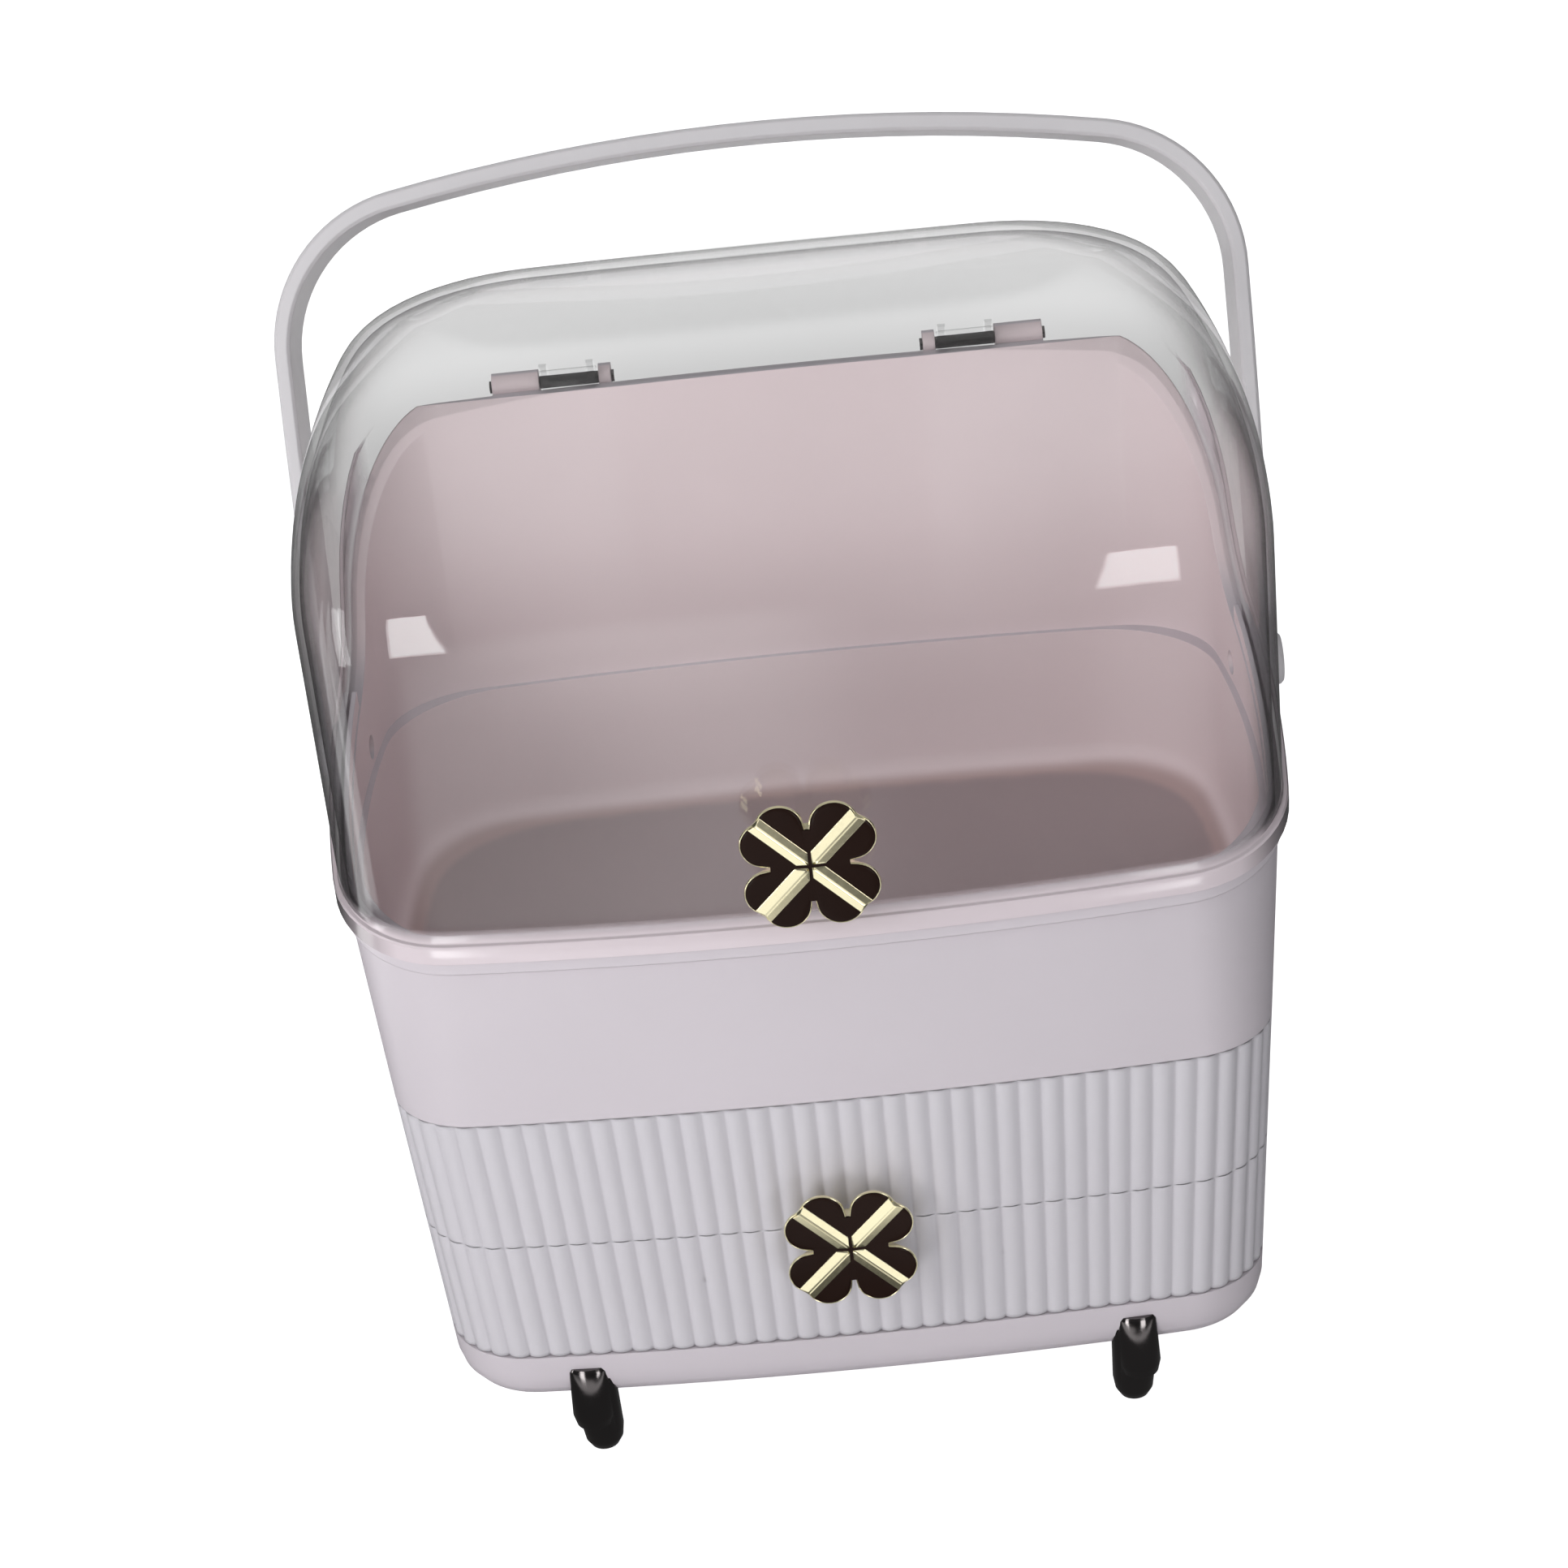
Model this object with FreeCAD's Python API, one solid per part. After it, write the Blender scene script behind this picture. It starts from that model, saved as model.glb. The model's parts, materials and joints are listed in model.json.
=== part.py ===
import FreeCAD, Part
import math
import os

# Tabletop makeup case: tapered tub with a clear hinged hood, one ribbed drawer
# and a carrying handle.  Millimetres, front towards -Y, Z up, feet on Z = 0.

V = FreeCAD.Vector
os.makedirs("parts", exist_ok=True)

# ---------------------------------------------------------------- dimensions
BOW_F = 1380.0          # radius of the slightly bowed front and back
BOW_S = 480.0           # radius of the slightly bowed sides
Z_PAN, Z_RIB, Z_SEAM = 18.0, 38.0, 129.0    # underside, ribs start, ribs end
Z_GROOVE = 82.0         # fine groove half way up the ribs
R_BODY, R_RIM = 29.0, 36.0
RIBS, RIB_H = 120, 1.2
WALL = 3.0
PAN_FILLET = 12.0       # rounded lower edge
Z_FLOOR = 148.0         # top of the tub floor
Z_LEDGE = 198.0         # small step inside the tub wall
Z_FRONT, Z_BACK = 188.0, 300.0              # rim height in front / on the back wall
RIM_SLOPE, ARCH_SLOPE, ARCH_R = 0.28, 1.75, 45.0
HOOD_W, HOOD_D, HOOD_T, HOOD_TOP = 147.0, 92.8, 2.4, 359.0
HOOD_Z1 = 286.0         # upright wall ends, crown begins
GAP = 0.45              # hood edge to tub rim
FLANGE_H, BEAD_H = 5.6, 3.8                 # thickened edges of hood and tub at the rim
LIP_H, LIP_T, LIP_GAP = 5.2, 1.6, 0.45      # upstanding lip of the tub inside the hood
R_FLOOR, FLOOR_FILLET = 42.0, 9.0           # plan corners and rounded edge of the tub floor
HINGE_Y, HINGE_Z, PIN_R = 97.5, 300.5, 2.0
PIV_Y, PIV_Z, PIV_R = 34.0, 204.0, 4.0
LEAN = 20.0             # the raised handle leans back
STRAP_W, STRAP_T = 28.0, 5.0
FOOT_X, FOOT_YF, FOOT_YR = 86.0, -77.5, 77.5
KNOB_Z, HOOD_KNOB_Z = 82.0, 219.0
Y_CENTRE = -2.2         # brings the middle of the overall depth onto Y = 0


def save(shape, name):
    shape = shape.removeSplitter()
    if shape.ShapeType == "Compound" and len(shape.Solids) == 1:
        shape = shape.Solids[0]
    assert shape.isValid(), name
    shape.translate(V(0, Y_CENTRE, 0))
    shape.exportStep("parts/" + name + ".step")
    print(name, len(shape.Solids), "solid(s)", round(shape.Volume / 1000.0, 2), "cm3", shape.BoundBox)


def box(x0, x1, y0, y1, z0, z1):
    return Part.makeBox(x1 - x0, y1 - y0, z1 - z0, V(x0, y0, z0))


def cyl(r, p, q):
    p, q = V(*p), V(*q)
    return Part.makeCylinder(r, (q - p).Length, p, q - p)


# ------------------------------------------------ soft rounded-rectangle plan
def half_w(z):
    """Half width of the body: a straight taper up to the rim, upright above it."""
    return 145.0 - 0.064 * (Z_FRONT - min(z, Z_FRONT))


def half_d(z):
    return 91.8 - 0.05 * (Z_FRONT - min(z, Z_FRONT))


def corner_r(z):
    return R_BODY + (R_RIM - R_BODY) * max(0.0, min(1.0, (z - Z_SEAM - 2.0) / (Z_FRONT - Z_SEAM)))


def outline(W, D, R, z, t=0.0, cy=0.0):
    """Closed wire, starts at the middle of the front; t is an inward offset."""
    W, D, R = W - t, D - t, max(R - t, 1.0)
    r1, r2 = BOW_F - t, BOW_S - t
    c1, c2 = (0.0, -D + r1), (W - r2, 0.0)
    a, b = r1 - R, r2 - R
    dx, dy = c2[0] - c1[0], c2[1] - c1[1]
    d = math.hypot(dx, dy)
    l = (a * a - b * b + d * d) / (2.0 * d)
    h = math.sqrt(max(a * a - l * l, 0.0))
    best = None
    for s in (1, -1):
        cx = c1[0] + l * dx / d - s * h * dy / d
        cyy = c1[1] + l * dy / d + s * h * dx / d
        if cx > 0 and cyy < 0:
            best = (cx, cyy)
    cx, cc = best
    p1 = (c1[0] + (cx - c1[0]) * r1 / a, c1[1] + (cc - c1[1]) * r1 / a)
    p2 = (c2[0] + (cx - c2[0]) * r2 / b, c2[1] + (cc - c2[1]) * r2 / b)
    mx, my = (p1[0] + p2[0]) / 2 - cx, (p1[1] + p2[1]) / 2 - cc
    m = math.hypot(mx, my)
    pm = (cx + R * mx / m, cc + R * my / m)

    def q(x, y):
        return V(x, y + cy, z)

    def on1(x, sy):
        return q(x, sy * (-(c1[1] - math.sqrt(r1 * r1 - x * x))))

    def on2(y, sx):
        return q(sx * (c2[0] + math.sqrt(r2 * r2 - y * y)), y)

    f, e = p1, p2
    E = [Part.Arc(q(0, -D), on1(f[0] / 2, -1), q(f[0], f[1])),
         Part.Arc(q(f[0], f[1]), q(*pm), q(e[0], e[1])),
         Part.Arc(q(e[0], e[1]), q(W, 0), q(e[0], -e[1])),
         Part.Arc(q(e[0], -e[1]), q(pm[0], -pm[1]), q(f[0], -f[1])),
         Part.Arc(q(f[0], -f[1]), q(0, D), q(-f[0], -f[1])),
         Part.Arc(q(-f[0], -f[1]), q(-pm[0], -pm[1]), q(-e[0], -e[1])),
         Part.Arc(q(-e[0], -e[1]), q(-W, 0), q(-e[0], e[1])),
         Part.Arc(q(-e[0], e[1]), q(-pm[0], pm[1]), q(-f[0], f[1])),
         Part.Arc(q(-f[0], f[1]), on1(-f[0] / 2, -1), q(0, -D))]
    return Part.Wire([x.toShape() for x in E])


def body_wire(z, t=0.0):
    return outline(half_w(z), half_d(z), corner_r(z), z, t)


def loft(wires, ruled=True):
    return Part.makeLoft(wires, True, ruled)


def prism(W, D, R, z0, z1, t=0.0):
    return Part.Face(outline(W, D, R, z0, t)).extrude(V(0, 0, z1 - z0))


def tub_form(t, z0, z1):
    return loft([body_wire(z0, t), body_wire(Z_FRONT, t), body_wire(z1, t)])


# ------------------------------------------------ parting line between tub and hood
def rim_curve(off):
    """Points of the side profile of the rim, shifted by off at right angles."""
    a, b = math.atan(RIM_SLOPE), math.atan(ARCH_SLOPE)
    nA, nB = (-math.sin(a), math.cos(a)), (-math.sin(b), math.cos(b))
    dA, dB = (math.cos(a), math.sin(a)), (math.cos(b), math.sin(b))
    A = (-93.0 + nA[0] * off, Z_FRONT + nA[1] * off)
    B = (88.0 + nB[0] * off, Z_BACK + nB[1] * off)
    den = dA[0] * dB[1] - dA[1] * dB[0]
    s = ((B[0] - A[0]) * dB[1] - (B[1] - A[1]) * dB[0]) / den
    I = (A[0] + s * dA[0], A[1] + s * dA[1])
    r = ARCH_R - off
    T = r * math.tan((b - a) / 2.0)
    PA, PB = (I[0] - T * dA[0], I[1] - T * dA[1]), (I[0] + T * dB[0], I[1] + T * dB[1])
    c = (PA[0] + nA[0] * r, PA[1] + nA[1] * r)
    mx, my = (PA[0] + PB[0]) / 2 - c[0], (PA[1] + PB[1]) / 2 - c[1]
    m = math.hypot(mx, my)
    PM = (c[0] + r * mx / m, c[1] + r * my / m)
    ztop = Z_BACK + off
    k = (ztop - B[1]) / dB[1]
    E = (B[0] + k * dB[0], ztop)
    s0 = (-140.0 - A[0]) / dA[0]
    S = (-140.0, A[1] + s0 * dA[1])
    return S, PA, PM, PB, E, ztop


def below_rim(off):
    S, PA, PM, PB, E, ztop = rim_curve(off)

    def q(p):
        return V(-200, p[0], p[1])

    edges = [Part.makeLine(q(S), q(PA)), Part.Arc(q(PA), q(PM), q(PB)).toShape(),
             Part.makeLine(q(PB), q(E)), Part.makeLine(q(E), q((140, ztop))),
             Part.makeLine(q((140, ztop)), q((140, -10))), Part.makeLine(q((140, -10)), q((-140, -10))),
             Part.makeLine(q((-140, -10)), q(S))]
    return Part.Face(Part.Wire(edges)).extrude(V(400, 0, 0))


ABOVE = box(-200, 200, -139, 139, 100, 500)


def above_rim(off):
    return ABOVE.cut(below_rim(off))


# ---------------------------------------------------------------- tub
def upper_tub():
    outer = tub_form(0.0, 128.9, 304.0)
    secs = []
    for deg in (0.0, 30.0, 60.0, 90.0):
        c, n = math.cos(math.radians(deg)), math.sin(math.radians(deg))
        secs.append((Z_FLOOR + FLOOR_FILLET * (1 - c), WALL + 2.0 + FLOOR_FILLET * (1 - n)))
    secs.append((Z_LEDGE, WALL + 2.0))
    low = loft([outline(half_w(z), half_d(z), R_FLOOR + t, z, t) for z, t in secs])
    high = loft([body_wire(z, WALL) for z in (Z_LEDGE, 310.0)])
    skirt = loft([body_wire(z, WALL) for z in (120.0, 145.0)])
    shell = outer.common(below_rim(0.0)).cut(low).cut(high).cut(skirt)
    bead = loft([outline(half_w(z) + 1.7, half_d(z) + 1.7, corner_r(z) + 1.7, z) for z in (160.0, Z_FRONT, 304.0)])
    bead = bead.common(below_rim(0.0)).cut(below_rim(-BEAD_H))
    bead = bead.cut(prism(half_w(240.0), half_d(240.0), R_RIM, 140.0, 310.0, 2.6))
    shell = shell.fuse(bead)
    t = HOOD_T + LIP_GAP
    lip = prism(HOOD_W, HOOD_D, R_RIM + 1.0, 170.0, 260.0, t).cut(prism(HOOD_W, HOOD_D, R_RIM + 1.0, 160.0, 270.0, t + LIP_T))
    lip = lip.common(below_rim(LIP_H)).cut(below_rim(-2.0)).common(box(-200, 200, -140, 28.0, 0, 300))
    shell = shell.fuse(lip.cut(high).cut(low))
    for sx in (-1, 1):
        # handle boss on each cheek
        boss = cyl(11.0, (sx * 138.0, PIV_Y, PIV_Z), (sx * 149.0, PIV_Y, PIV_Z))
        shell = shell.fuse(boss.cut(high).cut(low))
        shell = shell.cut(cyl(PIV_R, (sx * 130.0, PIV_Y, PIV_Z), (sx * 150.0, PIV_Y, PIV_Z)))
    # screw bosses below the floor
    for x, y in SCREW_XY:
        shell = shell.fuse(cyl(5.0, (x, y, 128.9), (x, y, 146.0)))
        shell = shell.cut(cyl(1.5, (x, y, 120.0), (x, y, 143.0)))
    return shell


def hinge_bracket(sx):
    """Two lugs on a gusset plate, seated on the back wall below the arched edge."""
    outer = tub_form(0.0, 150.0, 320.0)
    s = None
    for x0, x1 in ((51.6, 55.6), (75.4, 91.0)):
        a, b = sorted((sx * x0, sx * x1))
        web = Part.makePolygon([V(a, 86.0, 276.0), V(a, 86.0, 299.6), V(a, HINGE_Y - 3.6, 299.6), V(a, HINGE_Y + 4.2, HINGE_Z - 1.2), V(a, 86.0, 276.0)])
        lug = cyl(4.4, (a, HINGE_Y, HINGE_Z), (b, HINGE_Y, HINGE_Z)).fuse(Part.Face(web).extrude(V(b - a, 0, 0)))
        s = lug if s is None else s.fuse(lug)
    a, b = sorted((sx * 51.6, sx * 91.0))
    s = s.fuse(box(a, b, 86.0, 93.6, 276.0, 294.0))
    a, b = sorted((sx * 55.6, sx * 75.4))
    s = s.cut(cyl(4.6, (a, HINGE_Y, HINGE_Z), (b, HINGE_Y, HINGE_Z))).cut(outer)
    return s.cut(cyl(PIN_R, (sx * 40, HINGE_Y, HINGE_Z), (sx * 100, HINGE_Y, HINGE_Z)))


SCREW_XY = ((-104, -58), (104, -58), (-104, 58), (104, 58))


# ---------------------------------------------------------------- lower body
def rib_wire(z):
    w = body_wire(z, RIB_H)
    pts = w.discretize(2 * RIBS + 1)[:-1]
    n = len(pts)
    edges = []
    for i in range(0, n, 2):
        a, m, b = pts[i], pts[i + 1], pts[(i + 2) % n]
        t = b - a
        nrm = V(t.y, -t.x, 0)
        nrm.normalize()
        edges.append(Part.Arc(a, m + nrm * RIB_H, b).toShape())
    return Part.Wire(edges)


def shell_inner(t):
    return loft([body_wire(Z_RIB - 1.0, t), body_wire(129.9, t)])


def ribbed_ring(z0, z1, t):
    return loft([rib_wire(z0), rib_wire(z1)]).cut(shell_inner(t))


def groove_cutter():
    """Thin ring that leaves a fine groove round the ribs."""
    slab = box(-180, 180, -140, 140, Z_GROOVE - 0.2, Z_GROOVE + 0.2)
    return slab.cut(loft([body_wire(Z_GROOVE - 2, 0.7 * RIB_H), body_wire(Z_GROOVE + 2, 0.7 * RIB_H)]))


def pan_form():
    """Lower form with its rounded edge."""
    wires = []
    for deg in (0.0, 22.5, 45.0, 67.5, 90.0):
        a = math.radians(deg)
        wires.append(body_wire(Z_PAN + PAN_FILLET * (1 - math.cos(a)), PAN_FILLET * (1 - math.sin(a))))
    return loft(wires + [body_wire(Z_RIB, 0.0)])


def base_pan():
    form = pan_form()
    s = form.cut(loft([body_wire(Z_PAN + 3.0, 13.5), body_wire(Z_PAN + 11.0, 5.0), body_wire(Z_RIB + 1.0, 5.0)]))
    for x, y in FEET_XY:
        s = s.fuse(cyl(8.0, (x, y, Z_PAN), (x, y, 33.0)).common(form))
        s = s.cut(cyl(1.6, (x, y, 10.0), (x, y, 30.5)))
    return s


FEET_XY = ((-FOOT_X, FOOT_YF), (FOOT_X, FOOT_YF), (-FOOT_X, FOOT_YR), (FOOT_X, FOOT_YR))


def rib_shell():
    ring = ribbed_ring(Z_RIB + 0.0, 128.9, RIB_H + 2.4).common(box(-200, 200, -45.5, 200, 0, 200))
    deck = loft([body_wire(125.6, RIB_H + 1.2), body_wire(128.9, RIB_H + 1.2)])
    front = box(-200, 200, -200, -45.5, 0, 300).cut(prism(half_w(125.6), half_d(125.6), R_BODY, 100, 140, RIB_H + 5.0))
    s = ring.fuse(deck.cut(front))
    # locating rib ring that the tub skirt drops over
    loc = loft([body_wire(128.0, WALL + 1.6), body_wire(133.5, WALL + 1.6)]).cut(loft([body_wire(127.0, WALL + 4.0), body_wire(135.0, WALL + 4.0)]))
    s = s.fuse(loc.common(box(-200, 200, -200, 200, 128.0, 133.0)))
    for x, y in SCREW_XY:
        s = s.cut(cyl(1.7, (x, y, 120), (x, y, 136)))
    return s


# ---------------------------------------------------------------- drawer
SEAT_Y = -87.2          # flat seat of the drawer knob
TRAY_W, TRAY_Y0, TRAY_Y1, TRAY_Z0, TRAY_Z1 = 121.5, -79.0, 76.0, 41.0, 120.0


def drawer_front():
    ring = ribbed_ring(Z_RIB + 0.5, 128.4, RIB_H + 2.8).common(box(-200, 200, -200, -46.1, 0, 200))
    # plate behind the ribs that the tray is screwed to, and the knob's flat seat
    plate = box(-60, 60, -86.0, -74.0, 56.0, 110.0).common(shell_inner(2.4)).cut(tray_form(0.0, 50.0, 120.0))
    seat = cyl(6.6, (0, SEAT_Y, KNOB_Z), (0, -82.0, KNOB_Z))
    s = ring.cut(groove_cutter()).fuse(plate).fuse(seat).cut(cyl(1.7, (0, -120, KNOB_Z), (0, -60, KNOB_Z)))
    for x, z in FRONT_SCREWS:
        s = s.cut(cyl(1.4, (x, -83.0, z), (x, -70, z)))
    return s


def tray_form(t, z0, z1):
    cy = (TRAY_Y0 + TRAY_Y1) / 2.0
    return Part.Face(outline(TRAY_W, (TRAY_Y1 - TRAY_Y0) / 2.0, 20.0, z0, t, cy)).extrude(V(0, 0, z1 - z0))


def drawer_tray():
    s = tray_form(0.0, TRAY_Z0, TRAY_Z1).cut(tray_form(2.2, TRAY_Z0 + 2.4, TRAY_Z1 + 5.0))
    # side flanges that hang on the runners
    flange = box(-TRAY_W - 3.6, TRAY_W + 3.6, -56.0, 60.0, 96.0, 98.6).cut(tray_form(1.0, 90.0, 105.0))
    s = s.fuse(flange)
    s = s.cut(cyl(4.6, (0, -90, KNOB_Z), (0, -70, KNOB_Z)))
    for x, z in FRONT_SCREWS:
        s = s.cut(cyl(1.5, (x, -90, z), (x, -70, z)))
    return s


FRONT_SCREWS = ((-48.0, 64.0), (48.0, 64.0), (-48.0, 102.0), (48.0, 102.0))


def runner(sx):
    """Fixed rail under the tray flange, screwed to the housing wall."""
    x_in, x_out = TRAY_W + 0.9, 133.5
    a, b = sorted((sx * x_in, sx * x_out))
    s = box(a, b, -44.0, 74.0, 92.0, 95.5)
    s = s.fuse(box(a, b, -44.0, -38.0, 86.0, 95.5)).fuse(box(a, b, 68.0, 74.0, 86.0, 95.5))
    s = s.fuse(box(*sorted((sx * 126.6, sx * 133.5)), -44.0, 74.0, 86.0, 102.5))
    return s.common(shell_inner(RIB_H + 2.4))


def clover_plate(grow, y0, y1):
    """Flat four-leaf outline (leaves in an X) between two depths; grow offsets the outline."""
    f = box(-11.6, 11.6, y0, y1, -11.6, 11.6)
    for sx in (-1, 1):
        for sz in (-1, 1):
            for a, b in ((13.2, 8.3), (8.3, 13.2)):
                f = f.fuse(cyl(7.5 + grow, (sx * a, y0, sz * b), (sx * a, y1, sz * b)))
    return f.removeSplitter()


def clover(thick):
    """Gold body with a ridged stripe down each leaf, and the dark leaf inlays; face towards -Y."""
    plate = clover_plate(0.0, -thick, 0.0)
    inlay = clover_plate(-0.9, -thick - 0.25, -thick + 0.7)
    ridge = None
    for ang in (45, 135, 225, 315):
        c, s = math.cos(math.radians(ang)), math.sin(math.radians(ang))

        def w(p, q, d):
            return V(p * c - q * s, -d, p * s + q * c)

        prof = Part.Face(Part.makePolygon([w(2.4, -2.7, thick - 1.2), w(2.4, 2.7, thick - 1.2), w(2.4, 2.7, thick + 0.3),
                                           w(2.4, 0, thick + 1.5), w(2.4, -2.7, thick + 0.3), w(2.4, -2.7, thick - 1.2)]))
        bar = prof.extrude(w(19.0, 0, 0) - w(0, 0, 0))
        ridge = bar if ridge is None else ridge.fuse(bar)
    inlay = inlay.cut(ridge).cut(cyl(1.7, (0, -30, 0), (0, 30, 0)).common(box(-5, 5, -thick + 1.0, 30, -5, 5)))
    plate = plate.cut(inlay).fuse(ridge)
    return plate, inlay


def knob(y_wall, y_face, zc):
    """Clover knob: foot flange on the wall, stem, plate; y_face is the front of the plate."""
    t = 4.6
    plate, inlay = clover(t)
    for sh in (plate, inlay):
        sh.translate(V(0, y_face + t, zc))
    stem = cyl(4.4, (0, y_wall, zc), (0, y_face + t - 1.0, zc)).fuse(cyl(6.2, (0, y_wall, zc), (0, y_wall - 1.6, zc)))
    hole = cyl(1.6, (0, y_wall + 1, zc), (0, y_face + t + 2.0, zc))
    return plate.fuse(stem).cut(hole), inlay


def screw(p, q, r, head_r, head_h):
    """Flat pan head at p, shank running towards q."""
    p, q = V(*p), V(*q)
    d = (q - p)
    d.normalize()
    return Part.makeCylinder(r, (q - p).Length, p, d).fuse(Part.makeCylinder(head_r, head_h, p - d * head_h, d))


# ---------------------------------------------------------------- hood
def hood_form(t, z0):
    z1, top = HOOD_Z1, HOOD_TOP - t
    rz = top - z1
    secs = [outline(HOOD_W, HOOD_D, R_RIM + 1.0, z, t) for z in (z1 - 22.0, z1 - 11.0)]
    for a in (0, 22, 44, 64, 80, 87):
        c, s = 1 - math.cos(math.radians(a)), math.sin(math.radians(a))
        ins, fr, bk = 53.0 * c, 64.0 * c, 60.0 * c
        W, D, cy = HOOD_W - ins, HOOD_D - (fr + bk) / 2.0, (fr - bk) / 2.0
        R = min(R_RIM + 1.0 + 2.0 * c, D - 2.0)
        secs.append(outline(W, D, R, z1 + rz * s, t, cy))
    dome = loft(secs, False)
    wall = prism(HOOD_W, HOOD_D, R_RIM + 1.0, z0, z1 - 22.0, t)
    return wall.fuse(dome)


def hood_shell():
    outer, inner = hood_form(0.0, 150.0), hood_form(HOOD_T, 140.0)
    shell = outer.cut(inner).common(above_rim(GAP))
    fl = prism(HOOD_W + 1.8, HOOD_D + 2.0, R_RIM + 3.0, 150.0, 320.0).cut(prism(HOOD_W, HOOD_D, R_RIM + 1.0, 140.0, 330.0, 0.6))
    fl = fl.common(above_rim(GAP)).cut(above_rim(GAP + FLANGE_H)).common(box(-200, 200, -200, 80.0, 0, 400))
    shell = shell.fuse(fl)
    ears = None
    for sx in (-1, 1):
        a, b = sorted((sx * 56.2, sx * 74.8))
        ear = cyl(3.8, (a, HINGE_Y, HINGE_Z), (b, HINGE_Y, HINGE_Z)).fuse(box(a, b, 86.0, HINGE_Y, HINGE_Z + 0.8, HINGE_Z + 3.4))
        for x0 in (56.2, 72.0):
            c, d = sorted((sx * x0, sx * (x0 + 2.8)))
            rib = Part.makePolygon([V(c, 84.0, HINGE_Z + 2.0), V(c, HINGE_Y, HINGE_Z + 2.0), V(c, HINGE_Y, HINGE_Z + 3.8), V(c, 91.0, HINGE_Z + 9.0), V(c, 84.0, HINGE_Z + 9.0), V(c, 84.0, HINGE_Z + 2.0)])
            ear = ear.fuse(Part.Face(rib).extrude(V(d - c, 0, 0)))
        ears = ear if ears is None else ears.fuse(ear)
    shell = shell.fuse(ears.cut(inner))
    for sx in (-1, 1):
        shell = shell.cut(cyl(PIN_R + 0.06, (sx * 40, HINGE_Y, HINGE_Z), (sx * 100, HINGE_Y, HINGE_Z)))
        for x0, x1 in ((50.8, 56.2), (74.8, 91.8)):
            a, b = sorted((sx * x0, sx * x1))
            shell = shell.cut(cyl(5.0, (a, HINGE_Y, HINGE_Z), (b, HINGE_Y, HINGE_Z)))
    shell = shell.cut(cyl(2.1, (0, -110, HOOD_KNOB_Z), (0, -80, HOOD_KNOB_Z)))
    return shell


# ---------------------------------------------------------------- handle
def strap_wire(t):
    """Outline of the strap in its own plane: straight legs, corner arcs, slightly bowed grip."""
    x0, x1, z1 = STRAP_X0 - t, STRAP_X1 - t, 104.0
    rt, rc = STRAP_R_TOP - t, STRAP_R_CORNER - t
    top = STRAP_TOP - t * 1.15
    ct = top - rt
    # corner centre: rc inside the leg line at its top, and inside the top arc
    cx = x1 - rc
    cz = ct + math.sqrt((rt - rc) ** 2 - cx ** 2)
    k = rt / (rt - rc)
    p1, p2 = (x1, cz), (cx * k, ct + (cz - ct) * k)
    ang = 0.5 * math.atan2(p2[1] - cz, p2[0] - cx)
    pm = (cx + rc * math.cos(ang), cz + rc * math.sin(ang))

    def q(x, z):
        return V(x, 0, z)

    low, knee = q(x0, -STRAP_W / 2), q(x1, z1)
    lo2, kn2 = q(-x0, -STRAP_W / 2), q(-x1, z1)
    return [Part.makeLine(low, knee), Part.makeLine(knee, q(*p1)), Part.Arc(q(*p1), q(*pm), q(*p2)).toShape(),
            Part.Arc(q(*p2), q(0, top), q(-p2[0], p2[1])).toShape(), Part.Arc(q(-p2[0], p2[1]), q(-pm[0], pm[1]), q(-p1[0], p1[1])).toShape(),
            Part.makeLine(q(-p1[0], p1[1]), kn2), Part.makeLine(kn2, lo2)], low, lo2


STRAP_X0, STRAP_X1, STRAP_TOP, STRAP_R_CORNER, STRAP_R_TOP = 154.4, 155.6, 187.2, 50.0, 640.0


def handle_strap():
    outer, a0, a1 = strap_wire(0.0)
    inner, b0, b1 = strap_wire(STRAP_T)
    w = Part.Wire(Part.__sortEdges__(outer + inner + [Part.makeLine(a0, b0), Part.makeLine(a1, b1)]))
    band = Part.Face(w).extrude(V(0, STRAP_W, 0))
    band.translate(V(0, -STRAP_W / 2, 0))
    keep = box(-200, 200, -STRAP_W / 2, STRAP_W / 2, 0, 300).fuse(cyl(STRAP_W / 2, (-200, 0, 0), (200, 0, 0)))
    band = band.common(keep).removeSplitter()
    es = [e for e in band.Edges if abs(abs(e.BoundBox.YMax) - STRAP_W / 2) < 1e-3 and e.BoundBox.YLength < 1e-3 and e.BoundBox.ZMin > -1e-3]
    band = band.makeChamfer(1.0, es)
    for s in (-1, 1):
        band = band.cut(cyl(PIV_R + 0.06, (s * 140, 0, 0), (s * 170, 0, 0)))
    band.rotate(V(0, 0, 0), V(1, 0, 0), -LEAN)
    band.translate(V(0, PIV_Y, PIV_Z))
    return band


def pivot(sx):
    s = cyl(PIV_R, (sx * 142.6, PIV_Y, PIV_Z), (sx * 155.5, PIV_Y, PIV_Z))
    cap = cyl(8.5, (sx * 154.9, PIV_Y, PIV_Z), (sx * 157.2, PIV_Y, PIV_Z))
    es = [e for e in cap.Edges if abs(e.CenterOfMass.x - sx * 157.2) < 0.1]
    return s.fuse(cap.makeChamfer(0.9, es))


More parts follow.
